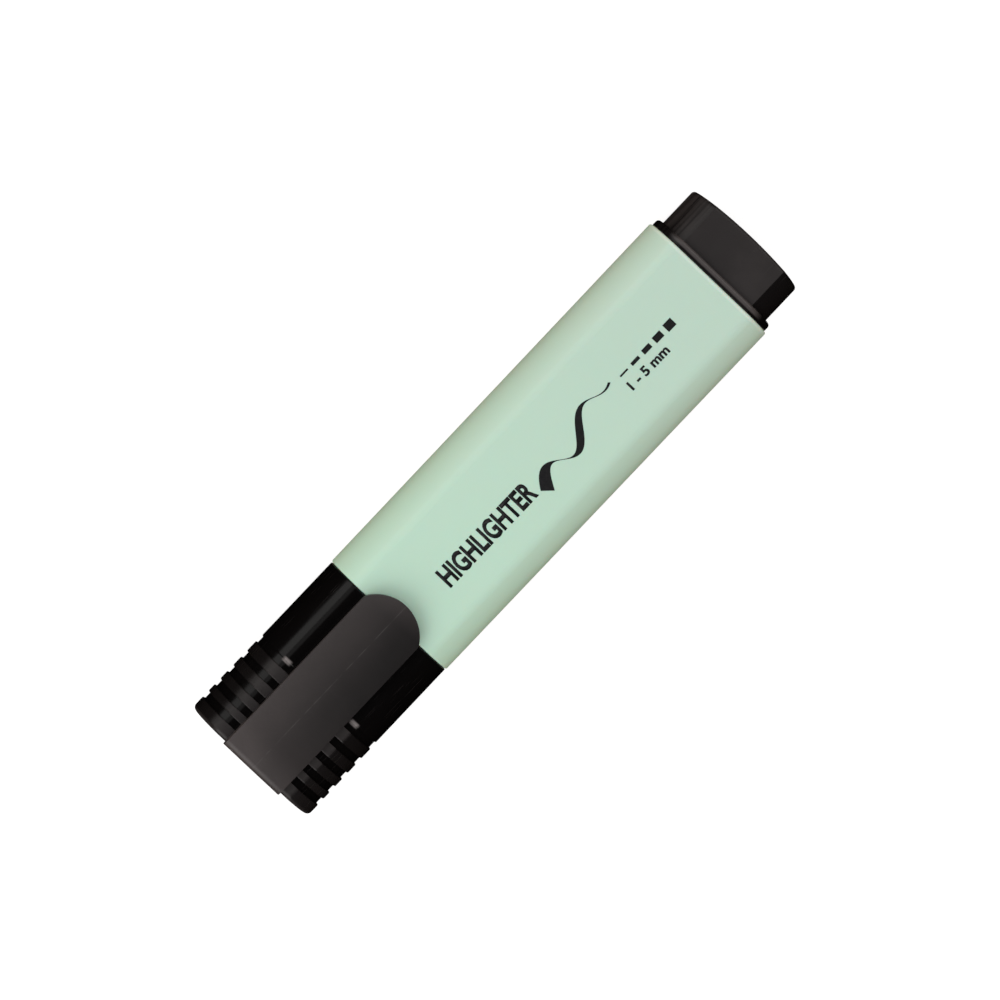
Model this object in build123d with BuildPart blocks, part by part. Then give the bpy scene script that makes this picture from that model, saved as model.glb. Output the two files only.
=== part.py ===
"""A flat, capped desk highlighter: nine pieces, in millimetres.

The pen lies on its lower flat. +X runs from the end plug to the closed end of the cap, +Y across the
wide faces and +Z up, out of the face that carries the pocket clip. The origin is under the middle of
the pen, at the bottom of its bounding box.
"""

from build123d import *

import os

os.makedirs("parts", exist_ok=True)

# The whole pen.
overall_length = 124.0
thickness = 16.0
axis_height = thickness / 2
half_thickness = thickness / 2

# Every cross section is a flat oval: two flats joined by two bulging flanks. The run is how far a
# flank reaches out beyond its flat.
flank_run = 4.85
soft_edge = 3.0
crisp_edge = 0.5

# Stations along X.
plug_end = -overall_length / 2
clip_root = overall_length / 2
cap_end = clip_root - 0.4
barrel_rear = plug_end + 9.95
cap_mouth = cap_end - 34.3
barrel_front = cap_mouth - 0.1

# Barrel.
barrel_rear_half_width = 13.63
barrel_front_half_width = 13.48
barrel_wall = 1.35
barrel_side_wall = 1.28
barrel_rim_radius = 0.35
flat_skim = 0.003
front_seat_depth = 9.5
front_seat_half_width = 12.0
front_seat_half_height = 6.55
centring_rib_length = 58.0
centring_rib_middle = -13.0
centring_rib_offset = 6.0
centring_rib_thickness = 1.0
centring_rib_reach = 1.35

# End plug.
flange_thickness = 1.5
flange_half_width = 13.20
flange_half_height = 7.72
flange_rear_radius = 0.6
flange_front_radius = 0.25
plug_half_width = 12.12
plug_half_height = 6.8
plug_run = 4.1
plug_bulge_radius = 95.0
plug_edge_radius = 0.7
spigot_length = 8.0
spigot_half_width = 12.3
spigot_half_height = 6.62
spigot_chamfer = 0.4
cup_half_width = 10.9
cup_half_height = 5.4
cup_wall = 1.7
fin_thickness = 0.9
fin_offset = 4.5
fin_root = 0.3
core_rear_gap = 0.2

# Nib and ink reservoir.
nib_tip = 54.4
nib_tail = 23.5
nib_half_width = 2.7
nib_half_height = 1.8
nib_edge_radius = 0.7
wedge_length = 5.2
writing_half_height = 0.8
nib_skew = 2.9
nib_tail_chamfer = 0.6
core_front = 33.4
core_rear = -45.5
core_half_width = 10.2
core_half_height = 5.0
film_thickness = 0.15
film_shortfall = 0.5

# Nose section.
collar_front = 37.8
collar_half_width = 12.15
collar_half_height = 6.75
collar_edge_radius = 0.8
bead_rear = barrel_front + 5.4
bead_width = 1.2
bead_height = 0.15
cone_half_width = 9.4
cone_half_height = 5.7
cone_run = 3.8
nose_tip = 48.0
nose_tip_half_width = 4.9
nose_tip_half_height = 3.9
nose_tip_run = 2.4
nose_tip_radius = 0.5
core_pocket_half_width = 10.8
core_pocket_half_height = 5.35
core_end_gap = 0.6
nib_clearance = 0.25
grip_length = 9.0
grip_width = 0.8
grip_setback = 1.5
vent_radius = 0.5
vent_offset = 10.3
vent_depth = 6.0

# Cap shell.
cap_mouth_half_width = 13.34
cap_sleeve_half_width = 13.37
cap_end_radius = 0.9
cap_bore_half_width = 12.35
cap_bore_half_height = 6.95
cap_bore_straight = 14.2
cap_bore_end_half_width = 12.0
cap_bore_end_half_height = 6.6
cap_end_wall = 1.4
bead_recess_margin = 0.3
rib_half_width = 13.46
rib_growth = 0.02
rib_count = 5
end_rib_width = 2.55
first_rib_width = 1.50
rib_widening = 0.25
groove_width = 1.40
groove_depth = 0.28
rib_edge_radius = 0.2
sleeve_step_radius = 0.22

# Cap liner.
liner_mouth = 43.0
liner_floor_thickness = 1.0
liner_floor_half_width = 11.9
liner_floor_half_height = 6.5
liner_half_width = 8.4
liner_half_height = 5.9
liner_run = 3.6
liner_bore_run = 3.2
liner_wall = 0.8
liner_lip_radius = 0.25

# Pocket clip.
clip_width = 12.7
clip_tip = cap_mouth - 3.55
clip_top = thickness + 2.8
clip_root_thickness = 2.1
clip_tip_thickness = 1.7
clip_root_fold = 0.30
clip_tip_fold = 0.45
clip_tip_radius = 7.3
clip_corner_radius = 2.0
clip_end_radius = 1.3
clip_edge_radius = 0.35
clip_foot_length = 5.2
clip_foot_radius = 0.6
clip_pad_depth = 1.0
clip_bump_radius = 0.75
clip_bump_setback = 3.0


def station(x):
    """The plane of a cross section at x, with its local axes along Y and Z."""
    return Plane(origin=(x, 0, axis_height), x_dir=(0, 1, 0), z_dir=(1, 0, 0))


def flat_oval(half_width, half_height, run=flank_run, edge_radius=0.0):
    """A face with two flats, and flanks that are arcs standing upright at the widest points."""
    flat = half_width - run
    with BuildSketch() as section:
        with BuildLine():
            Line((-flat, half_height), (flat, half_height))
            ThreePointArc((flat, half_height), (half_width, 0), (flat, -half_height))
            Line((flat, -half_height), (-flat, -half_height))
            ThreePointArc((-flat, -half_height), (-half_width, 0), (-flat, half_height))
        make_face()
        if edge_radius:
            fillet(section.vertices(), edge_radius)
    return section.sketch


def save(builder, name):
    """Labels a finished piece and writes its STEP file."""
    builder.part.label = name
    export_step(builder.part, f"parts/{name}.step")


# Barrel: a tapering tube, open at both ends, with four ribs inside that centre the reservoir. It is
# lofted a hair too thick and skimmed, so that the flats it rests on are true planes.
with BuildPart() as barrel:
    lofted_half_height = half_thickness + flat_skim
    with BuildSketch(station(barrel_rear)):
        add(flat_oval(barrel_rear_half_width, lofted_half_height, edge_radius=soft_edge))
    with BuildSketch(station(barrel_front)):
        add(flat_oval(barrel_front_half_width, lofted_half_height, edge_radius=soft_edge))
    loft(ruled=True)
    rims = barrel.faces().sort_by(Axis.X)
    fillet(rims[0].edges() + rims[-1].edges(), barrel_rim_radius)
    with Locations((0, 0, axis_height)):
        Box(overall_length, 2 * overall_length, thickness, mode=Mode.INTERSECT)

    bore_half_height = half_thickness - barrel_wall
    seat_bottom = barrel_front - front_seat_depth
    with BuildSketch(station(barrel_rear)):
        add(flat_oval(barrel_rear_half_width - barrel_side_wall, bore_half_height))
    with BuildSketch(station(seat_bottom)):
        add(flat_oval(barrel_front_half_width - barrel_side_wall, bore_half_height))
    loft(ruled=True, mode=Mode.SUBTRACT)
    with BuildSketch(station(seat_bottom)):
        add(flat_oval(front_seat_half_width, front_seat_half_height))
    extrude(amount=front_seat_depth, mode=Mode.SUBTRACT)

    # Each rib starts a little inside the wall, so that it is one with the tube.
    rib_root = 0.2
    rib_depth = centring_rib_reach + rib_root
    rib_distance = bore_half_height + rib_root - rib_depth / 2
    for side in (-1, 1):
        rib_height = axis_height + side * rib_distance
        with Locations(
            (centring_rib_middle, -centring_rib_offset, rib_height),
            (centring_rib_middle, centring_rib_offset, rib_height),
        ):
            Box(centring_rib_length, centring_rib_thickness, rib_depth)
save(barrel, "barrel")

# End plug: a hollow block with a flange that stops on the barrel's rear rim and a spigot inside it.
with BuildPart() as end_plug:
    with BuildSketch(station(barrel_rear - flange_thickness)):
        add(flat_oval(flange_half_width, flange_half_height, edge_radius=soft_edge))
    extrude(amount=flange_thickness)
    fillet(end_plug.faces().sort_by(Axis.X)[0].edges(), flange_rear_radius)
    fillet(end_plug.faces().sort_by(Axis.X)[-1].edges(), flange_front_radius)

    # The block's end bulges, so a region outside a large arc is cut away from it.
    with BuildSketch(station(plug_end)):
        add(flat_oval(plug_half_width, plug_half_height, run=plug_run, edge_radius=crisp_edge))
    extrude(amount=barrel_rear - plug_end)
    bulge_drop = plug_bulge_radius - (plug_bulge_radius**2 - thickness**2) ** 0.5
    with BuildSketch(Plane.XY):
        with BuildLine():
            ThreePointArc(
                (plug_end + bulge_drop, -thickness),
                (plug_end, 0),
                (plug_end + bulge_drop, thickness),
            )
            Polyline(
                (plug_end + bulge_drop, thickness),
                (plug_end - 1, thickness),
                (plug_end - 1, -thickness),
                (plug_end + bulge_drop, -thickness),
            )
        make_face()
    extrude(amount=thickness, mode=Mode.SUBTRACT)
    fillet(end_plug.faces().sort_by(Axis.X)[0].edges(), plug_edge_radius)

    with BuildSketch(station(barrel_rear)):
        add(flat_oval(spigot_half_width, spigot_half_height, edge_radius=crisp_edge))
    extrude(amount=spigot_length)
    chamfer(end_plug.faces().sort_by(Axis.X)[-1].edges(), spigot_chamfer)

    # Fins across the hollow stop the reservoir from sliding back.
    cup_floor = plug_end + cup_wall
    with BuildSketch(station(cup_floor)):
        add(flat_oval(cup_half_width, cup_half_height, run=plug_run))
    extrude(amount=barrel_rear + spigot_length - cup_floor, mode=Mode.SUBTRACT)
    fin_length = core_rear - core_rear_gap - cup_floor
    fin_middle = cup_floor + fin_length / 2
    with Locations((fin_middle, 0, axis_height)):
        Box(fin_length, 2 * (cup_half_width + fin_root), fin_thickness)
    with Locations((fin_middle, -fin_offset, axis_height), (fin_middle, fin_offset, axis_height)):
        Box(fin_length, fin_thickness, 2 * (cup_half_height + fin_root))
save(end_plug, "end_plug")

# Nib: a chisel of pressed fibre, wedged towards its writing edge and cut askew across its width.
with BuildPart() as nib:
    with BuildSketch(station(nib_tail)):
        RectangleRounded(2 * nib_half_width, 2 * nib_half_height, nib_edge_radius)
    extrude(amount=nib_tip - nib_tail)
    with BuildSketch(Plane.XZ):
        for side in (-1, 1):
            with BuildLine():
                Polyline(
                    (nib_tip - wedge_length, axis_height + side * (nib_half_height + 0.01)),
                    (nib_tip + 0.1, axis_height + side * writing_half_height),
                    (nib_tip + 0.1, axis_height + side * 2 * nib_half_height),
                    (nib_tip - wedge_length, axis_height + side * 2 * nib_half_height),
                    close=True,
                )
            make_face()
    extrude(amount=2 * nib_half_width, both=True, mode=Mode.SUBTRACT)
    skew_edge = nib_half_width + 0.01
    with BuildSketch(Plane.XY):
        with BuildLine():
            Polyline(
                (nib_tip, -skew_edge),
                (nib_tip - nib_skew, skew_edge),
                (nib_tip + 1, skew_edge),
                (nib_tip + 1, -skew_edge),
                close=True,
            )
        make_face()
    extrude(amount=thickness, mode=Mode.SUBTRACT)
    chamfer(nib.faces().sort_by(Axis.X)[0].edges(), nib_tail_chamfer)
save(nib, "nib")

# Reservoir core: a bundle of fibre that holds the ink, with the nib's tail pressed into its front.
with BuildPart() as reservoir_core:
    with BuildSketch(station(core_rear)):
        add(flat_oval(core_half_width, core_half_height, run=core_half_height))
    extrude(amount=core_front - core_rear)
    add(nib.part, mode=Mode.SUBTRACT)
save(reservoir_core, "reservoir_core")

# Reservoir film: the thin sleeve round the fibre, open at both ends and a little shorter.
with BuildPart() as reservoir_film:
    film_half_width = core_half_width + film_thickness
    film_half_height = core_half_height + film_thickness
    with BuildSketch(station(core_rear + film_shortfall)):
        add(flat_oval(film_half_width, film_half_height, run=film_half_height))
        core_section = flat_oval(core_half_width, core_half_height, run=core_half_height)
        add(core_section, mode=Mode.SUBTRACT)
    extrude(amount=core_front - core_rear - 2 * film_shortfall)
save(reservoir_film, "reservoir_film")

# Nose section: the front end. Its spigot is pressed into the barrel, its collar carries the cap with
# a snap bead, and its cone holds the nib.
with BuildPart() as nose_section:
    with BuildSketch(station(barrel_front)):
        add(flat_oval(collar_half_width, collar_half_height, edge_radius=crisp_edge))
    extrude(amount=collar_front - barrel_front)
    fillet(nose_section.faces().sort_by(Axis.X)[-1].edges(), collar_edge_radius)
    with BuildSketch(station(seat_bottom)):
        add(flat_oval(front_seat_half_width, front_seat_half_height))
    extrude(amount=front_seat_depth)
    with BuildSketch(station(bead_rear)):
        add(
            flat_oval(
                collar_half_width + bead_height,
                collar_half_height + bead_height,
                edge_radius=crisp_edge,
            )
        )
    extrude(amount=bead_width)

    with BuildSketch(station(collar_front)):
        add(flat_oval(cone_half_width, cone_half_height, run=cone_run, edge_radius=crisp_edge))
    with BuildSketch(station(nose_tip)):
        add(
            flat_oval(
                nose_tip_half_width,
                nose_tip_half_height,
                run=nose_tip_run,
                edge_radius=crisp_edge,
            )
        )
    loft(ruled=True)
    fillet(nose_section.faces().sort_by(Axis.X)[-1].edges(), nose_tip_radius)

    pocket_length = core_front + core_end_gap - seat_bottom
    with BuildSketch(station(seat_bottom)):
        add(flat_oval(core_pocket_half_width, core_pocket_half_height))
    extrude(amount=pocket_length, mode=Mode.SUBTRACT)

    # Four narrow ribs in the channel grip the nib and leave air a way past it.
    channel_half_width = nib_half_width + nib_clearance
    channel_half_height = nib_half_height + nib_clearance
    with BuildSketch(station(seat_bottom + pocket_length)):
        RectangleRounded(2 * channel_half_width, 2 * channel_half_height, nib_edge_radius)
    extrude(amount=nose_tip - seat_bottom - pocket_length, mode=Mode.SUBTRACT)
    grip_middle = nose_tip - grip_setback - grip_length / 2
    for side in (-1, 1):
        with Locations((grip_middle, side * channel_half_width, axis_height)):
            Box(grip_length, 2 * nib_clearance, grip_width)
        with Locations((grip_middle, 0, axis_height + side * channel_half_height)):
            Box(grip_length, grip_width, 2 * nib_clearance)

    with Locations(station(collar_front).location * Location((vent_offset, 0, 0))):
        Hole(vent_radius, depth=vent_depth)
save(nose_section, "nose_section")

# Cap shell: a smooth sleeve that runs into five grip ribs, broad at the closed end, then narrow and
# widening towards the sleeve. A pad across the end ribs carries the clip's foot.
rib_bands = []
band_end = cap_end
for index in range(rib_count):
    width = end_rib_width if index == 0 else first_rib_width + rib_widening * (index - 1)
    half_width = rib_half_width + rib_growth * (rib_count - 1 - index)
    rib_bands.append((band_end - width, width, half_width))
    band_end -= width + groove_width
sleeve_end = band_end

with BuildPart() as cap_shell:
    with BuildSketch(station(cap_mouth)):
        add(flat_oval(cap_mouth_half_width, half_thickness, edge_radius=soft_edge))
    with BuildSketch(station(sleeve_end)):
        add(flat_oval(cap_sleeve_half_width, half_thickness, edge_radius=soft_edge))
    loft(ruled=True)
    sleeve_faces = cap_shell.faces().sort_by(Axis.X)
    fillet(sleeve_faces[0].edges(), rib_edge_radius)
    fillet(sleeve_faces[-1].edges(), sleeve_step_radius)

    # Each new rib stands behind the last, so that its end faces are the first two past the sleeve.
    for band_start, width, half_width in rib_bands:
        with BuildSketch(station(band_start)):
            add(flat_oval(half_width, half_thickness, edge_radius=soft_edge))
        extrude(amount=width)
        end_faces = cap_shell.faces().filter_by(Axis.X).sort_by(Axis.X)[2:4]
        if band_start + width < cap_end:
            fillet(end_faces.edges(), rib_edge_radius)
        else:
            fillet(end_faces[0].edges(), rib_edge_radius)
            fillet(cap_shell.faces().sort_by(Axis.X)[-1].edges(), cap_end_radius)
    with BuildSketch(station(sleeve_end - 1)):
        add(
            flat_oval(
                cap_sleeve_half_width - groove_depth,
                half_thickness - groove_depth,
                edge_radius=soft_edge,
            )
        )
    extrude(amount=cap_end - sleeve_end)
    foot_front = clip_root - clip_foot_length
    with Locations(((foot_front + cap_end) / 2, 0, thickness - clip_pad_depth / 2)):
        Box(cap_end - foot_front, clip_width, clip_pad_depth)

    with BuildSketch(station(cap_mouth)):
        add(flat_oval(cap_bore_half_width, cap_bore_half_height))
    extrude(amount=cap_bore_straight, mode=Mode.SUBTRACT)
    with BuildSketch(station(cap_mouth + cap_bore_straight)):
        add(flat_oval(cap_bore_half_width, cap_bore_half_height))
    with BuildSketch(station(cap_end - cap_end_wall)):
        add(flat_oval(cap_bore_end_half_width, cap_bore_end_half_height))
    loft(ruled=True, mode=Mode.SUBTRACT)
    with BuildSketch(station(bead_rear - bead_recess_margin)):
        add(flat_oval(cap_bore_half_width + bead_height, cap_bore_half_height + bead_height))
    extrude(amount=bead_width + 2 * bead_recess_margin, mode=Mode.SUBTRACT)
save(cap_shell, "cap_shell")

# Cap liner: the cup inside the cap that closes round the nose and keeps the nib from drying.
with BuildPart() as cap_liner:
    liner_floor = cap_end - cap_end_wall - liner_floor_thickness
    with BuildSketch(station(liner_floor)):
        add(flat_oval(liner_floor_half_width, liner_floor_half_height))
    extrude(amount=liner_floor_thickness)
    with BuildSketch(station(liner_mouth)):
        add(flat_oval(liner_half_width, liner_half_height, run=liner_run, edge_radius=crisp_edge))
    extrude(amount=liner_floor - liner_mouth)
    with BuildSketch(station(liner_mouth)):
        add(
            flat_oval(
                liner_half_width - liner_wall,
                liner_half_height - liner_wall,
                run=liner_bore_run,
                edge_radius=crisp_edge,
            )
        )
    extrude(amount=liner_floor - liner_mouth, mode=Mode.SUBTRACT)
    fillet(cap_liner.faces().sort_by(Axis.X)[0].edges(), liner_lip_radius)
save(cap_liner, "cap_liner")

# Pocket clip: a slab on a foot, with a gripping ridge under it and a round tip. Its top folds into a
# crease along the middle, which deepens towards the tip.
with BuildPart() as pocket_clip:
    half_clip = clip_width / 2
    tip_underside = clip_top - clip_tip_thickness
    root_underside = clip_top - clip_root_thickness
    with BuildSketch(Plane.XZ) as clip_profile:
        with BuildLine():
            Polyline(
                (clip_root, thickness),
                (clip_root, clip_top),
                (clip_tip, clip_top),
                (clip_tip, tip_underside),
                (foot_front, root_underside),
                (foot_front, thickness),
                close=True,
            )
        make_face()
        with Locations((clip_tip + clip_bump_setback, tip_underside)):
            Circle(clip_bump_radius)
        foot_corner = clip_profile.vertices().sort_by_distance((foot_front, 0, root_underside))[0]
        fillet(foot_corner, clip_foot_radius)
    extrude(amount=half_clip, both=True)

    for x, fold in ((clip_tip, clip_tip_fold), (clip_root, clip_root_fold)):
        with BuildSketch(station(x)):
            with BuildLine():
                Polyline(
                    (-half_clip, thickness - axis_height),
                    (half_clip, thickness - axis_height),
                    (half_clip, clip_top - axis_height - fold),
                    (0, clip_top - axis_height),
                    (-half_clip, clip_top - axis_height - fold),
                    close=True,
                )
            make_face()
    loft(ruled=True, mode=Mode.INTERSECT)

    tip_drop = clip_tip_radius - (clip_tip_radius**2 - half_clip**2) ** 0.5
    with BuildSketch(Plane.XY):
        with BuildLine():
            Polyline(
                (clip_tip + tip_drop, half_clip),
                (clip_root, half_clip),
                (clip_root, -half_clip),
                (clip_tip + tip_drop, -half_clip),
            )
            ThreePointArc(
                (clip_tip + tip_drop, -half_clip),
                (clip_tip, 0),
                (clip_tip + tip_drop, half_clip),
            )
        make_face()
    extrude(amount=clip_top + 1, mode=Mode.INTERSECT)

    upright_edges = pocket_clip.edges().filter_by(Axis.Z)
    fillet(upright_edges.sort_by(Axis.X)[:2], clip_corner_radius)
    end_edges = pocket_clip.edges().filter_by_position(Axis.X, clip_root - 0.01, clip_root + 0.01)
    fillet(end_edges.group_by(Axis.Z)[-1], clip_end_radius)
    top_faces = pocket_clip.faces().sort_by(SortBy.AREA).filter_by(
        lambda face: face.normal_at().Z > 0.9 and face.center().Z > root_underside
    )
    outline_edges = top_faces[-2:].edges().filter_by(
        lambda edge: abs(edge.center().Y) > 0.1 and edge.bounding_box().max.X < clip_root - 1
    )
    fillet(outline_edges, clip_edge_radius)
save(pocket_clip, "pocket_clip")
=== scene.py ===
import math

import bmesh
import bpy
from mathutils import Matrix, Vector


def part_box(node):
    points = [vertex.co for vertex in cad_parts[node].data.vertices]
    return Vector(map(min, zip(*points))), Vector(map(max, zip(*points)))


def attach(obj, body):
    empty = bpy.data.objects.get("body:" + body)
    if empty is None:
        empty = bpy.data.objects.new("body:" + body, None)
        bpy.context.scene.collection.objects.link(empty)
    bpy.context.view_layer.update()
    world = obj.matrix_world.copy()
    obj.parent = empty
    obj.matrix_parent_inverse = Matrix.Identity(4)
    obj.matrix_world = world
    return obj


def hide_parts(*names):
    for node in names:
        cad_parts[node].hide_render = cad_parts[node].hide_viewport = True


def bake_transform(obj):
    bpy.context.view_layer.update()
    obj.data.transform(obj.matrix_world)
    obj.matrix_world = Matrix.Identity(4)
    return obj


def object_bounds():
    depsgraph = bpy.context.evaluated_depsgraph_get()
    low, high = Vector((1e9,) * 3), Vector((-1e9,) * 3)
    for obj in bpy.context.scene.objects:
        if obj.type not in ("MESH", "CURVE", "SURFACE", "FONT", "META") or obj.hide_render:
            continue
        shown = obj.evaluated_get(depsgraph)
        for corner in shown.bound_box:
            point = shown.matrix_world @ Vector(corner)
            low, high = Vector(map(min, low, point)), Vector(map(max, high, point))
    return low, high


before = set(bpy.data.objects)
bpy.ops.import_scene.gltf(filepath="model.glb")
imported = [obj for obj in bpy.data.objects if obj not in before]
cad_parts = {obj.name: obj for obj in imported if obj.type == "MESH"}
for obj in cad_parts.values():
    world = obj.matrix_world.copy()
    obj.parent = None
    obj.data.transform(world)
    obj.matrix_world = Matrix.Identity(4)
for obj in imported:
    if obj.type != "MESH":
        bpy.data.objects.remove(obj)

cad_low, cad_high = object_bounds()

# ---------------------------------------------------------------------------------------------
# The barrel. One tube of polypropylene, injection moulded in a pastel green, with a fine satin skin
# and a painted highlight that pales its rear rim. The mould's halves leave a hair line along the
# middle of each flank.
# Desk and pocket have left a few hairline scratches.
# ---------------------------------------------------------------------------------------------
MM = 0.001
axis_height = 8 * MM
barrel_low, barrel_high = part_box("barrel")
barrel_green_front = (0.445, 0.640, 0.520, 1)
barrel_green_rear = (0.452, 0.608, 0.515, 1)
barrel_green_deep = (0.400, 0.590, 0.470, 1)
barrel_rim_highlight_green = (0.560, 0.680, 0.600, 1)
flank_middle = 12.2 * MM
parting_half_width = 0.03 * MM
pale_rim_width = 0.50 * MM
rim_fade = 0.30 * MM
skin_depth = 0.010 * MM


class Shade:
    """One socket in a material's nodes. Sums written on it add the Math nodes that work them out."""

    def __init__(self, tree, socket=None):
        self.tree = tree
        self.socket = socket

    def node(self, kind, settings=None, sockets=None, out=0):
        """Adds a node of a kind, sets it, fills its sockets and gives back one of its outputs."""
        made = self.tree.nodes.new("ShaderNode" + kind)
        for name, value in (settings or {}).items():
            setattr(made, name, value)
        for name, value in (sockets or {}).items():
            if isinstance(value, Shade):
                self.tree.links.new(value.socket, made.inputs[name])
            else:
                made.inputs[name].default_value = value
        return Shade(self.tree, made.outputs[out])

    def sum(self, operation, *others):
        """A Math node on this socket and further values."""
        return self.node("Math", {"operation": operation}, dict(enumerate((self, *others))))

    def __add__(self, other):
        return self.sum("ADD", other)

    __radd__ = __add__

    def __sub__(self, other):
        return self.sum("SUBTRACT", other)

    def __rsub__(self, other):
        return self * -1 + other

    def __mul__(self, other):
        return self.sum("MULTIPLY", other)

    __rmul__ = __mul__

    def __abs__(self):
        return self.sum("ABSOLUTE")

    def rise(self, low, high):
        """0 below low, 1 above high, and a smooth step between them."""
        ends = {"Value": self, "From Min": low, "From Max": high}
        return self.node("MapRange", {"interpolation_type": "SMOOTHSTEP"}, ends)

    def mix(self, first, second):
        """A colour that goes from first to second as this socket goes from 0 to 1."""
        return self.node("Mix", {"data_type": "RGBA"}, {0: self, 6: first, 7: second}, out=2)

    def noise(self, scale, detail=2.0, roughness=0.5, stretch=(1, 1, 1)):
        """Noise from 0 to 1 over this socket's places, with stretch as its scale along each axis."""
        place = self.node("Mapping", {}, {"Vector": self, "Scale": stretch})
        sockets = {"Vector": place, "Scale": scale, "Detail": detail, "Roughness": roughness}
        return self.node("TexNoise", {}, sockets)

    def part(self, axis):
        """The X, Y or Z of this socket's places."""
        return self.node("SeparateXYZ", {}, {"Vector": self}, out=axis)


def new_finish(name, even):
    """A material with one Principled shader, whose even values are set, and the places on it."""
    made = bpy.data.materials.new(name)
    made.use_nodes = True
    shader = made.node_tree.nodes["Principled BSDF"]
    for socket, value in even.items():
        shader.inputs[socket].default_value = value
    place = Shade(made.node_tree).node("TexCoord", out="Object")
    return made, shader, place


def feed(shader, **shades):
    """Links each shade to the shader's socket of that name."""
    for name, shade in shades.items():
        socket = shader.inputs[name.replace("_", " ")]
        shade.tree.links.new(shade.socket, socket)


def relief(height, distance):
    """The bumped normal of a height from 0 to 1, which stands for a distance in metres."""
    sockets = {"Height": height, "Distance": distance, "Strength": 1.0}
    return height.node("Bump", {}, sockets, out="Normal")


def wear_scratches(place, across):
    """Thin, short scratches that run along X, as 0 to 1. across is how close together they lie."""
    streaks = place.noise(1.0, 1.0, stretch=(across * 0.02, across, across))
    patches = place.noise(60, 2.0)
    return streaks.rise(0.66, 0.72) * patches.rise(0.5, 0.66)


def dress(node, material):
    """Gives a CAD node's every slot a finish."""
    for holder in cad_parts[node].material_slots:
        holder.material = material


barrel_finish, shader, place = new_finish(
    "barrel_plastic", {"Specular IOR Level": 0.5, "Subsurface Weight": 0.12, "Subsurface Scale": 0.002}
)
along = place.part("X").rise(barrel_low.x, barrel_high.x)
clouding = place.noise(38, 3.0, 0.55, stretch=(0.35, 1, 1))
speckle = place.noise(2600, 1.0)
scratches = wear_scratches(place, 9000)
green = along.mix(barrel_green_rear, barrel_green_front)
green = (clouding.rise(0.35, 0.75) * 0.16 + speckle.rise(0.5, 0.8) * 0.05).mix(green, barrel_green_deep)
# A painted highlight: the rear rim is painted a paler green.
rim_edge = barrel_low.x + pale_rim_width
rear_rim_highlight = 1 - place.part("X").rise(rim_edge, rim_edge + rim_fade)
green = (rear_rim_highlight * 0.7).mix(green, barrel_rim_highlight_green)
on_flank = abs(place.part("Y")).rise(flank_middle, flank_middle + 0.1 * MM)
off_parting = abs(place.part("Z") - axis_height).rise(parting_half_width, parting_half_width * 3)
parting = (1 - off_parting) * on_flank
skin = place.noise(3200, 2.0, 0.6) * 0.35 + place.noise(420, 2.0) * 0.5 + parting * 1.4 - scratches * 0.5
feed(
    shader,
    Base_Color=green,
    Roughness=0.30 + clouding * 0.08 + speckle * 0.04 + scratches * 0.2,
    Normal=relief(skin, skin_depth),
)
dress("barrel", barrel_finish)

# ---------------------------------------------------------------------------------------------
# The print on the barrel's upper flat: black pad-printing ink, a few hundredths of a millimetre
# thick. It reads from the cap to the plug: the kind of pen, a brushed sample stroke, and a scale of
# the line widths that the chisel nib draws.
# ---------------------------------------------------------------------------------------------
ink_thickness = 0.02 * MM
flat_top = barrel_high.z
ink_black = (0.006, 0.006, 0.007, 1)
ink_grey = (0.016, 0.016, 0.017, 1)
word_start = 16.4 * MM
word_length = 21.8 * MM
word_height = 3.9 * MM
word_line = 3.7 * MM
letter_weight = 0.034
stroke_start = -6.9 * MM
stroke_length = 20.5 * MM
stroke_low = 4.2 * MM
stroke_climb = 6.2 * MM
stroke_swing = 2.3 * MM
stroke_breadth = 1.7 * MM
stroke_waves = 1.8
scale_start = -29.2 * MM
scale_length = 14.0 * MM
scale_line = -0.2 * MM
scale_widths = (1, 2, 3, 4, 5)
bar_share = 0.66
bar_breadth = 0.32 * MM
caption_line = 3.1 * MM
caption_height = 1.8 * MM


def clear_selection():
    """Leaves nothing selected, so that the next operator acts on its own piece alone."""
    bpy.ops.object.select_all(action="DESELECT")


def settle(piece, name):
    """Names a finished piece, and puts its place into its mesh."""
    piece.name = name
    piece.data.name = name
    bpy.ops.object.transform_apply(location=True, rotation=True, scale=True)


def print_text(name, words, start, baseline, height, length):
    """Words as a thin slab of ink: start is their first edge along X, baseline their foot in Y."""
    clear_selection()
    bpy.ops.object.text_add()
    piece = bpy.context.object
    piece.data.body = words
    piece.data.size = 1.0
    piece.data.offset = letter_weight
    piece.data.resolution_u = 4
    bpy.ops.object.convert(target="MESH")
    bpy.ops.object.mode_set(mode="EDIT")
    bpy.ops.mesh.select_all(action="SELECT")
    bpy.ops.mesh.remove_doubles(threshold=0.0005)
    bpy.ops.mesh.dissolve_limited(angle_limit=math.radians(1))
    bpy.ops.object.mode_set(mode="OBJECT")
    low, high = Vector(piece.bound_box[0]), Vector(piece.bound_box[6])
    wide, tall = length / (high.x - low.x), height / (high.y - low.y)
    piece.scale = (wide, tall, 1)
    piece.rotation_euler = (0, 0, math.pi)
    piece.location = (start + low.x * wide, baseline + low.y * tall, flat_top)
    settle(piece, name)
    thicken_ink(piece)
    return piece


def thicken_ink(piece):
    """Gives a flat print its thickness, outwards from the plastic."""
    shell = piece.modifiers.new("ink", "SOLIDIFY")
    shell.thickness = ink_thickness
    shell.offset = 1
    bpy.ops.object.modifier_apply(modifier=shell.name)


ink_finish, shader, place = new_finish("print_ink", {"Specular IOR Level": 0.4})
film = place.noise(5200, 2.0)
feed(
    shader,
    Base_Color=film.rise(0.3, 0.9).mix(ink_black, ink_grey),
    Roughness=0.38 + film * 0.14,
    Normal=relief(film, 0.004 * MM),
)
prints = [print_text("print_word", "HIGHLIGHTER", word_start, word_line, word_height, word_length)]

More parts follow.
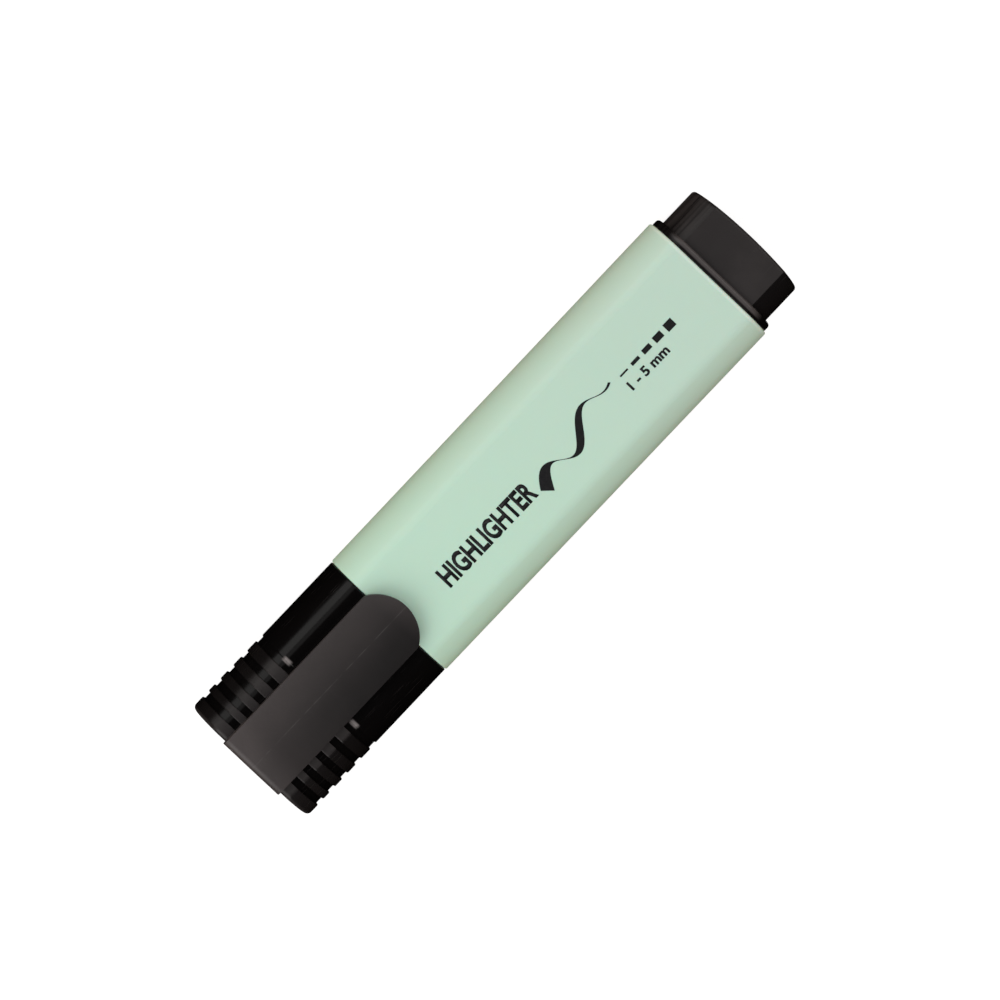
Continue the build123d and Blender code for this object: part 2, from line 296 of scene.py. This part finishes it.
# The sample stroke is a flat ribbon that rises and falls, as wide as the nib where it starts.
clear_selection()
bpy.ops.mesh.primitive_grid_add(x_subdivisions=64, y_subdivisions=2, size=1)
stroke = bpy.context.object
for corner in stroke.data.vertices:
    run = corner.co.x + 0.5
    turns = run * stroke_waves * 2 * math.pi
    breadth = stroke_breadth * (1 - 0.75 * run) * (0.7 + 0.3 * math.cos(turns))
    swing = stroke_swing * (1 - 0.5 * run) * math.sin(turns)
    aside = corner.co.y * breadth
    corner.co = (
        stroke_start - run * stroke_length + aside,
        stroke_low - run * stroke_climb - swing - aside,
        flat_top,
    )
settle(stroke, "print_stroke")
thicken_ink(stroke)
prints.append(stroke)

# Each bar of the scale is as much broader than the last as its line is.
pitch = scale_length / len(scale_widths)
for index, width in enumerate(scale_widths):
    clear_selection()
    middle = scale_start - pitch * (index + 0.4)
    bpy.ops.mesh.primitive_plane_add(size=1, location=(middle, scale_line, flat_top))
    bar = bpy.context.object
    bar.scale = (pitch * bar_share, bar_breadth * width, 1)
    settle(bar, f"print_bar_{width}")
    thicken_ink(bar)
    prints.append(bar)
caption_length = scale_length * bar_share
prints.append(
    print_text("print_widths", "1 - 5 mm", scale_start, caption_line, caption_height, caption_length)
)
for piece in prints:
    piece.data.materials.clear()
    piece.data.materials.append(ink_finish)
    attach(piece, "barrel")

# ---------------------------------------------------------------------------------------------
# The end plug and the nose section. Both are black polypropylene and are pushed into the barrel's
# ends. Flats and end faces have a fine spark-eroded grain, and the flanks are nearly as smooth as the
# cap; the plug's far flank is also darker, partly its gloss and partly painted shade. Use has scuffed
# the plug's near flank, and a painted highlight pales the lip of its flange.
# ---------------------------------------------------------------------------------------------
satin_black = (0.0190, 0.0164, 0.0166, 1)
satin_grey = (0.034, 0.0295, 0.0295, 1)
gloss_black = (0.0022, 0.0019, 0.0019, 1)
# Pale grey for rubbed wear, and for painted highlights.
wear_and_highlight_grey = (0.200, 0.180, 0.178, 1)
plug_flat_half_width = 7.9 * MM
flange_thickness = 1.5 * MM
flange_rear = barrel_low.x - flange_thickness
plug_end = cad_low.x
lip_reach = 8.5 * MM
collar_front = 37.9 * MM
black_specular = 0.37
plug_roughness = 0.44
pressed_roughness = 0.40


def two_skins(shader, place, grained, roughness, wear_and_highlight):
    """Black plastic: grained where grained is 1, glossy elsewhere, and pale grey where the last mask is
    1: rubbed wear on the nose, a painted highlight on the plug and the cap.
    """
    grain = place.noise(7600, 2.0, 0.6)
    rubbed = place.noise(70, 4.0, 0.6)
    scratches = wear_scratches(place, 7000)
    tone = (rubbed.rise(0.35, 0.8) * 0.6 + grain * 0.25 + scratches * 0.5).mix(satin_black, satin_grey)
    gloss = (scratches * 0.5).mix(gloss_black, satin_black)
    polish = place.noise(180, 2.0).rise(0.4, 0.8) * 0.06 + 0.16 + scratches * 0.2
    feed(
        shader,
        Base_Color=wear_and_highlight.mix(grained.mix(gloss, tone), wear_and_highlight_grey),
        Roughness=polish + grained * (roughness - 0.19 + grain * 0.10 - rubbed.rise(0.55, 0.8) * 0.05),
        Normal=relief(grain * grained + place.noise(900, 2.0) * 0.3 - scratches * 0.2, skin_depth),
    )


plug_finish, shader, place = new_finish("end_plug_plastic", {"Specular IOR Level": black_specular})
far_side, near_side = place.part("Y"), place.part("Y") * -1
# Partly finish, partly painted shade: the far flank is glossier and darker than the near one.
far_flank_gloss_and_shade = far_side.rise(plug_flat_half_width - 0.1 * MM, plug_flat_half_width + 0.1 * MM)
near_flank = near_side.rise(plug_flat_half_width - 0.2 * MM, plug_flat_half_width + 0.5 * MM)
scuffs = place.noise(1.0, 2.0, 0.6, stretch=(40, 1500, 1500)).rise(0.35, 0.65)
on_flange = place.part("X").rise(flange_rear - 0.05 * MM, flange_rear)
grained = (1 - far_flank_gloss_and_shade * 0.85) * (1 - near_flank * scuffs * 0.7) * (1 - on_flange * 0.8)
end_face = 1 - place.part("X").rise(plug_end + 0.2 * MM, plug_end + 0.8 * MM)
grained = grained.sum("MAXIMUM", end_face)
# A painted highlight: the lip of the flange is painted pale grey.
lip_painted_highlight = on_flange * (1 - place.part("X").rise(flange_rear + 0.7 * MM, flange_rear + 1.1 * MM))
lip_painted_highlight = lip_painted_highlight * (1 - abs(place.part("Y")).rise(lip_reach, lip_reach + 2.5 * MM))
two_skins(shader, place, grained, plug_roughness, lip_painted_highlight * 0.28)
dress("end_plug", plug_finish)

nose_finish, shader, place = new_finish("nose_section_plastic", {"Specular IOR Level": black_specular})
beyond_collar = place.part("X").rise(collar_front, collar_front + 0.2 * MM)
rubbed_spots = place.noise(300, 2.0).rise(0.7, 0.8) * 0.08
two_skins(shader, place, 1 - beyond_collar * 0.6, pressed_roughness, rubbed_spots)
dress("nose_section", nose_finish)

# ---------------------------------------------------------------------------------------------
# The reservoir. A bundle of polyester fibre, soft and soaked with ink, in a sleeve of clear film
# that is welded along one side. Its fibres all run along the pen.
# ---------------------------------------------------------------------------------------------
core_green_deep = (0.23, 0.50, 0.35, 1)
core_green = (0.42, 0.70, 0.54, 1)
clear_film = (0.86, 0.92, 0.89, 1)
welded_film = (0.70, 0.80, 0.75, 1)
weld_half_width = 0.5 * MM
weld_height = 12 * MM

core_finish, shader, place = new_finish(
    "core_fibre", {"Specular IOR Level": 0.2, "Sheen Weight": 0.3, "Sheen Roughness": 0.5}
)
strands = place.noise(1.0, 3.0, 0.6, stretch=(160, 5200, 5200))
soaked = place.noise(90, 3.0, 0.6)
feed(
    shader,
    Base_Color=(strands * 0.6 + soaked * 0.4).rise(0.3, 0.7).mix(core_green_deep, core_green),
    Roughness=0.75 + strands * 0.2 - soaked.rise(0.5, 0.7) * 0.2,
    Normal=relief(strands, 0.06 * MM),
)
dress("reservoir_core", core_finish)

film_finish, shader, place = new_finish("film_plastic", {"Specular IOR Level": 0.5})
weld = 1 - abs(place.part("Y")).rise(weld_half_width, weld_half_width + 0.3 * MM)
on_top = place.part("Z").rise(weld_height, weld_height + 1 * MM)
crinkle = place.noise(260, 3.0, 0.6, stretch=(0.4, 1, 1))
feed(
    shader,
    Base_Color=(weld * on_top).mix(clear_film, welded_film),
    Roughness=0.12 + crinkle * 0.12,
    Alpha=0.24 + crinkle * 0.08 + weld * 0.2,
    Normal=relief(crinkle, 0.05 * MM),
)
dress("reservoir_film", film_finish)

# ---------------------------------------------------------------------------------------------
# The nib. A chisel of pressed fibre, ground to a skewed wedge, with its long edges softened. The
# writing edge is darker, where the ink stands in it.
# ---------------------------------------------------------------------------------------------
nib_low, nib_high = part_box("nib")
wedge_length = 5.2 * MM
writing_half_height = 0.8 * MM
nib_skew = 2.9 * MM
nib_edge_radius = 0.32 * MM
nib_slice = 1.1 * MM
felt_deep = (0.24, 0.47, 0.34, 1)
felt_pale = (0.45, 0.70, 0.56, 1)
felt_wet = (0.20, 0.46, 0.31, 1)


def start_block(low, high):
    """A box between two corners, left in edit mode with its place in its mesh."""
    clear_selection()
    bpy.ops.mesh.primitive_cube_add(size=1, location=(low + high) / 2)
    block = bpy.context.object
    block.scale = high - low
    bpy.ops.object.transform_apply(location=True, rotation=True, scale=True)
    bpy.ops.object.mode_set(mode="EDIT")
    return block


def pick(block, kind, test):
    """In edit mode, selects just the verts, edges or faces that pass a test."""
    bpy.context.tool_settings.mesh_select_mode = [kind == each for each in ("verts", "edges", "faces")]
    bpy.ops.mesh.select_all(action="DESELECT")
    shape = bmesh.from_edit_mesh(block.data)
    for element in getattr(shape, kind):
        element.select_set(test(element))
    shape.select_flush_mode()
    bmesh.update_edit_mesh(block.data)


def slice_at(point, outward, trim=False):
    """Cuts the whole piece with a plane, and with trim takes off what lies outwards of it."""
    bpy.ops.mesh.select_all(action="SELECT")
    bpy.ops.mesh.bisect(plane_co=point, plane_no=outward, use_fill=trim, clear_outer=trim, threshold=1e-7)


def middle_of(element):
    """The middle of an edge."""
    return (element.verts[0].co + element.verts[1].co) / 2


def soften(piece, name, width, angle):
    """Rounds the sharp edges of a piece, shades it smooth and names it."""
    bpy.ops.object.mode_set(mode="OBJECT")
    rounding = piece.modifiers.new("rounding", "BEVEL")
    rounding.width = width
    rounding.segments = 3
    rounding.limit_method = "ANGLE"
    rounding.angle_limit = angle
    bpy.ops.object.modifier_apply(modifier=rounding.name)
    bpy.ops.object.shade_smooth_by_angle(angle=math.radians(40))
    settle(piece, name)


nib = start_block(nib_low, nib_high)
face_half_height = (nib_high.z - nib_low.z) / 2
for side in (-1, 1):
    wedge_start = Vector((nib_high.x - wedge_length, 0, axis_height + side * face_half_height))
    wedge_normal = Vector((face_half_height - writing_half_height, 0, side * wedge_length))
    slice_at(wedge_start, wedge_normal, trim=True)
skew_normal = Vector((nib_high.y - nib_low.y, nib_skew, 0))
slice_at(Vector((nib_high.x, nib_low.y, 0)), skew_normal, trim=True)
for step in range(1, 12):
    slice_at(Vector((nib_high.x - step * nib_slice, 0, 0)), Vector((1, 0, 0)))
soften(nib, "nib_felt", nib_edge_radius, math.radians(25))
nib_finish, shader, place = new_finish(
    "nib_fibre", {"Specular IOR Level": 0.25, "Sheen Weight": 0.25, "Sheen Roughness": 0.5}
)
strands = place.noise(1.0, 3.0, 0.65, stretch=(420, 6400, 6400))
pores = place.noise(5200, 2.0, 0.7)
wet = place.part("X").rise(nib_high.x - 9 * MM, nib_high.x - 1 * MM)
felt_green = (strands * 0.7 + pores * 0.3).rise(0.3, 0.72).mix(felt_deep, felt_pale)
feed(
    shader,
    Base_Color=(wet * 0.45).mix(felt_green, felt_wet),
    Roughness=0.86 + strands * 0.1 - wet * 0.16,
    Normal=relief(strands + pores * 0.7, 0.05 * MM),
)
nib.data.materials.append(nib_finish)
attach(nib, "barrel")
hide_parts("nib")

# ---------------------------------------------------------------------------------------------
# The cap: a shell of black polypropylene, glossy but for its grained end and five grained ribs, and a
# liner cup of natural polyethylene that is pushed into it. The outer parts of the ribs are glossier and
# darker, partly polished by fingers and partly painted shade. The gloss shows hairline scratches, and
# two painted highlights pale the sleeve just past the step from the ribs.
# ---------------------------------------------------------------------------------------------
sleeve_end = 44.6 * MM
rib_flat_height = 7.82 * MM
flank_centre = 4.50 * MM
rib_flank_reach = 8.76 * MM
rib_roughness = 0.40
last_rib = 62 * MM
far_glint_line = 7.65 * MM
near_glint_line = 8.05 * MM
glint_half_width = 0.4 * MM
glint_fade = 0.7 * MM
liner_cloudy = (0.74, 0.75, 0.70, 1)
liner_pale = (0.83, 0.83, 0.79, 1)
cap_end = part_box("cap_shell")[1].x
cap_finish, shader, place = new_finish("cap_plastic", {"Specular IOR Level": black_specular})
rise_above = abs(place.part("Z") - axis_height)
sideways = abs(place.part("Y")) - flank_centre
reach = (sideways * sideways + rise_above * rise_above).sum("SQRT")
above_groove = (rise_above - rib_flat_height).sum("MAXIMUM", reach - rib_flank_reach)
on_rib = above_groove.rise(0, 0.1 * MM) * place.part("X").rise(sleeve_end, sleeve_end + 0.1 * MM)
far_side, near_side = place.part("Y"), place.part("Y") * -1
# Painted shade, partly polish: the ribs turn glossier and darker towards the flanks, less so towards the
# cap's end.
less_at_end = 0.90 - place.part("X").rise(sleeve_end, last_rib) * 0.18
far_polish_and_shade = far_side.rise(7.8 * MM, 8.7 * MM) * less_at_end
near_polish_and_shade = near_side.rise(8.2 * MM, 11.2 * MM) * 0.85
end_face = place.part("X").rise(cap_end - 0.9 * MM, cap_end - 0.2 * MM)
# Painted highlights: two small pale grey patches on the sleeve just past the step, one each side of the
# clip.
at_step = 1 - abs(place.part("X") - sleeve_end + 0.15 * MM).rise(0.25 * MM, 0.60 * MM)
far_glint = 1 - abs(far_side - far_glint_line).rise(glint_half_width, glint_half_width + glint_fade)
near_glint = 1 - abs(near_side - near_glint_line).rise(glint_half_width, glint_half_width + glint_fade)
grained = (on_rib * (1 - far_polish_and_shade - near_polish_and_shade)).sum("MAXIMUM", end_face * 0.9)
two_skins(shader, place, grained, rib_roughness, at_step * (far_glint + near_glint) * 0.8)
dress("cap_shell", cap_finish)

liner_finish, shader, place = new_finish(
    "liner_plastic", {"Specular IOR Level": 0.45, "Subsurface Weight": 0.3, "Subsurface Scale": 0.002}
)
haze = place.noise(160, 3.0)
feed(
    shader,
    Base_Color=haze.rise(0.3, 0.8).mix(liner_cloudy, liner_pale),
    Roughness=0.36 + haze * 0.12,
    Normal=relief(place.noise(900, 2.0), 0.008 * MM),
)
dress("cap_liner", liner_finish)

# ---------------------------------------------------------------------------------------------
# The pocket clip. A satin black slab on a foot that is welded to the cap's end. Its top folds into a
# crease, a ridge under the round tip grips the cloth, and the tongue bends along most of its length,
# ahead of the foot. Its tone is painted light and shade: paler at its near edge, its root and its tip,
# darker towards its far edge, and a painted highlight runs along the crease.
# ---------------------------------------------------------------------------------------------
clip_low, clip_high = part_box("pocket_clip")
clip_half_width = (clip_high.y - clip_low.y) / 2
clip_top_rise = 10.8 * MM
clip_root_thickness = 2.1 * MM
clip_tip_thickness = 1.7 * MM
clip_tip_fold = 0.45 * MM
clip_root_fold = 0.30 * MM
clip_tip_radius = 7.3 * MM
clip_corner_radius = 2.0 * MM
clip_foot_length = 5.2 * MM
clip_ridge_setback = 3.0 * MM
clip_ridge_radius = 0.75 * MM
clip_ridge_rounding = 0.5 * MM
clip_end_radius = 1.3 * MM
clip_foot_radius = 0.6 * MM
clip_edge_radius = 0.35 * MM
clip_crown = (0.0, 0.22, 0.55, 1.0)
clip_slice = 1.6 * MM
clip_black = (0.0085, 0.0074, 0.0076, 1)
clip_grey = (0.047, 0.039, 0.039, 1)
clip_crest_highlight_grey = (0.06, 0.055, 0.054, 1)

clip_top = axis_height + clip_top_rise
clip_under = clip_top - clip_root_thickness
foot_front = clip_high.x - clip_foot_length
slab_low = Vector((clip_low.x, clip_low.y, clip_under))
slab_high = Vector((clip_high.x, clip_high.y, clip_top))
clip = start_block(slab_low, slab_high)


def near(value, target):
    """True within a few hundredths of a millimetre."""
    return abs(value - target) < 0.04 * MM


# The underside rises to the tip. Each half of the top falls away from the middle in three strips,
# each a little steeper than the last.
pick(clip, "verts", lambda v: near(v.co.x, clip_low.x) and near(v.co.z, clip_under))
bpy.ops.transform.translate(value=(0, 0, clip_root_thickness - clip_tip_thickness))
strip_width = clip_half_width / 3
for strip in range(-2, 3):
    slice_at(Vector((0, strip * strip_width, 0)), Vector((0, 1, 0)))
for end, fold in ((clip_low.x, clip_tip_fold), (clip_high.x, clip_root_fold)):
    for strip in range(1, 4):
        fold_line = strip * strip_width
        pick(
            clip,
            "verts",
            lambda v: near(v.co.x, end) and near(v.co.z, clip_top) and near(abs(v.co.y), fold_line),
        )
        bpy.ops.transform.translate(value=(0, 0, -fold * clip_crown[strip]))

# The foot grows down from the root to the cap. Its front corner is rounded, and so is the top edge
# at the cap's end.
slice_at(Vector((foot_front, 0, 0)), Vector((1, 0, 0)))
pick(clip, "faces", lambda f: f.normal.z < -0.9 and f.calc_center_median().x > foot_front)
bpy.ops.mesh.extrude_region_move(TRANSFORM_OT_translate={"value": (0, 0, clip_low.z - clip_under)})
bpy.ops.transform.resize(value=(1, 1, 0), center_override=(0, 0, clip_low.z))
pick(
    clip,
    "edges",
    lambda e: near(middle_of(e).x, foot_front)
    and near(abs(e.verts[0].co.x - e.verts[1].co.x), 0)
    and clip_low.z + 0.3 * MM < middle_of(e).z < clip_under + 0.3 * MM
    and near(e.verts[0].co.z, e.verts[1].co.z),
)
bpy.ops.mesh.bevel(offset=clip_foot_radius, segments=5)
pick(
    clip,
    "edges",
    lambda e: near(e.verts[0].co.x, clip_high.x)
    and near(e.verts[1].co.x, clip_high.x)
    and middle_of(e).z > clip_top - clip_root_fold - 0.1 * MM
    and not near(e.verts[0].co.y, e.verts[1].co.y),
)
bpy.ops.mesh.bevel(offset=clip_end_radius, segments=7)

# The ridge under the tip.
ridge = clip_low.x + clip_ridge_setback
for step in (-1, 0, 1):
    slice_at(Vector((ridge + step * clip_ridge_radius, 0, 0)), Vector((1, 0, 0)))
pick(
    clip,
    "edges",
    lambda e: near(e.verts[0].co.x, ridge)
    and near(e.verts[1].co.x, ridge)
    and e.verts[0].co.z < clip_under + 0.5 * MM
    and e.verts[1].co.z < clip_under + 0.5 * MM,
)
bpy.ops.transform.translate(value=(0, 0, -clip_ridge_radius))
bpy.ops.mesh.bevel(offset=clip_ridge_rounding, segments=4)

# Flat cuts, a few degrees apart, trim the end to an arc that runs into two small corner arcs.
corner_y = clip_half_width - clip_corner_radius
corner_reach = clip_tip_radius - clip_corner_radius
corner_turn = math.asin(corner_y / corner_reach)
tip_centre_x = clip_low.x + clip_tip_radius
corner_x = tip_centre_x - corner_reach * math.cos(corner_turn)
for degrees in range(-86, 90, 4):
    turn = math.radians(degrees)
    outward = Vector((-math.cos(turn), math.sin(turn), 0))
    if abs(turn) < corner_turn:
        centre = Vector((tip_centre_x, 0, 0))
        reach = clip_tip_radius
    else:
        centre = Vector((corner_x, math.copysign(corner_y, turn), 0))
        reach = clip_corner_radius
    slice_at(centre + outward * reach, outward, trim=True)

# Cuts across the tongue let it bend.
for step in range(1, 19):
    slice_at(Vector((foot_front + clip_foot_radius - step * clip_slice, 0, 0)), Vector((1, 0, 0)))
soften(clip, "clip_tongue", clip_edge_radius, math.radians(35))

clip_finish, shader, place = new_finish("clip_plastic", {"Specular IOR Level": 0.5})
grain = place.noise(7600, 2.0, 0.6)
rubbed = place.noise(90, 4.0, 0.6)
# A painted highlight: a thin pale grey line along the crease, broken up by noise.
crest = 1 - abs(place.part("Y") + place.noise(900, 1.0) * 0.06 * MM).rise(0.03 * MM, 0.12 * MM)
wear_and_highlight = crest * place.noise(420, 2.0).rise(0.35, 0.6)
across, along = place.part("Y"), place.part("X")
# Painted light and shade: the tone darkens towards the far edge and pales at the root and the tip.
far_painted_shade = across.rise(-6.6 * MM, 4.5 * MM) * 0.56
root_painted_highlight = along.rise(36 * MM, 66 * MM) * 0.38 + along.rise(55 * MM, 61 * MM) * 0.35
tip_painted_highlight = (1 - along.rise(23.5 * MM, 27.5 * MM)) * 0.35
painted_light_level = 0.52 - far_painted_shade + root_painted_highlight + tip_painted_highlight
tone = (painted_light_level + rubbed.rise(0.35, 0.8) * 0.12 + grain * 0.05).mix(clip_black, clip_grey)
feed(
    shader,
    Base_Color=(wear_and_highlight * 0.6).mix(tone, clip_crest_highlight_grey),
    Roughness=0.40 + grain * 0.10 - rubbed.rise(0.5, 0.8) * 0.05,
    Normal=relief(grain + place.noise(2300, 2.0) * 0.6, skin_depth),
)
clip.data.materials.append(clip_finish)
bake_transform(clip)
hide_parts("pocket_clip")

# ---------------------------------------------------------------------------------------------
# The table and the light: a white sheet lit from behind, a long soft box over the near side with a
# dim one above it, and one beyond each end. The pale room lights only what is matt, and is warmer
# and dimmer towards the floor: black flags keep it out of the gloss.
# ---------------------------------------------------------------------------------------------
floor_size = 12
floor_grey = (0.33, 0.33, 0.33, 1)
floor_grey_pale = (0.35, 0.35, 0.35, 1)
floor_glow_dim = (0.97, 0.97, 0.97, 1)
floor_glow = (1.0, 1.0, 1.0, 1)
glow_strength = 0.80
lamp_white = (1.0, 0.99, 0.97)
room_below = (0.58, 0.38, 0.23, 1)
room_horizon = (0.76, 0.61, 0.44, 1)
room_above = (0.80, 0.80, 0.82, 1)

clear_selection()
bpy.ops.mesh.primitive_plane_add(size=floor_size, location=(0, 0, 0))
floor = bpy.context.object
floor.name = "floor"
floor_finish, shader, place = new_finish("floor_paper", {"Specular IOR Level": 0.1, "Roughness": 0.9})
paper = place.noise(30, 2.0)
feed(
    shader,
    Base_Color=paper.mix(floor_grey, floor_grey_pale),
    Emission_Color=paper.mix(floor_glow_dim, floor_glow),
)
shader.inputs["Emission Strength"].default_value = glow_strength
floor.data.materials.append(floor_finish)
floor.visible_glossy = False
floor.visible_diffuse = False


def soft_box(name, tilt, towards, distance, length, breadth, brightness):
    """A soft box aimed at the pen, tilted off the vertical towards an angle round Z."""
    lean, turn = math.radians(tilt), math.radians(towards)
    out = Vector((math.sin(lean) * math.cos(turn), math.sin(lean) * math.sin(turn), math.cos(lean)))
    bpy.ops.object.light_add(type="AREA", location=out * distance)
    lamp = bpy.context.object
    lamp.name = name
    lamp.rotation_euler = out.to_track_quat("Z", "Y").to_euler()
    lamp.data.shape = "RECTANGLE"
    lamp.data.size = length
    lamp.data.size_y = breadth
    lamp.data.energy = brightness * math.pi * length * breadth
    lamp.data.color = lamp_white
    lamp.visible_camera = False


soft_box("key_light", tilt=56, towards=-90, distance=1.0, length=1.6, breadth=0.56, brightness=0.80)
soft_box("top_light", tilt=27, towards=-90, distance=1.0, length=1.2, breadth=0.40, brightness=0.32)
soft_box("cap_end_light", tilt=55, towards=0, distance=0.6, length=0.5, breadth=0.5, brightness=2.0)
soft_box("plug_end_light", tilt=50, towards=180, distance=0.6, length=0.4, breadth=0.2, brightness=1.6)
world = bpy.data.worlds.new("room")
bpy.context.scene.world = world
world.use_nodes = True
world.cycles_visibility.glossy = False
room = Shade(world.node_tree)
height = room.node("TexCoord", out="Generated").part("Z")
sky = height.rise(0.0, 0.75).mix(room_horizon, room_above)
room_light = height.rise(-0.25, 0.0).mix(room_below, sky)
backdrop = world.node_tree.nodes["Background"]
world.node_tree.links.new(room_light.socket, backdrop.inputs["Color"])
backdrop.inputs["Strength"].default_value = 1.0
bpy.context.scene.view_settings.view_transform = "Standard"

# ---------------------------------------------------------------------------------------------
# The camera looks down with a long lens, a few degrees from the near side and from the plug's end,
# and is turned so that the pen runs up across the frame from the cap.
# ---------------------------------------------------------------------------------------------
lens = 250
sensor_width = 36
camera_distance = 1.186
pen_slope = math.radians(46.72)
lean_near = math.radians(6.2)
lean_plug = math.radians(0.3)
aim = Vector((-0.15 * MM, 0.25 * MM, axis_height))
back = Vector((-math.tan(lean_plug), -math.tan(lean_near), 1)).normalized()
right = Vector((-math.cos(pen_slope), math.sin(pen_slope), 0))
right = (right - back * right.dot(back)).normalized()
up = back.cross(right)
bpy.ops.object.camera_add()
camera = bpy.context.object
camera.data.lens = lens
camera.data.sensor_width = sensor_width
turned = Matrix((right, up, back)).transposed().to_4x4()
camera.matrix_world = Matrix.Translation(aim + back * camera_distance) @ turned
bpy.context.scene.camera = camera
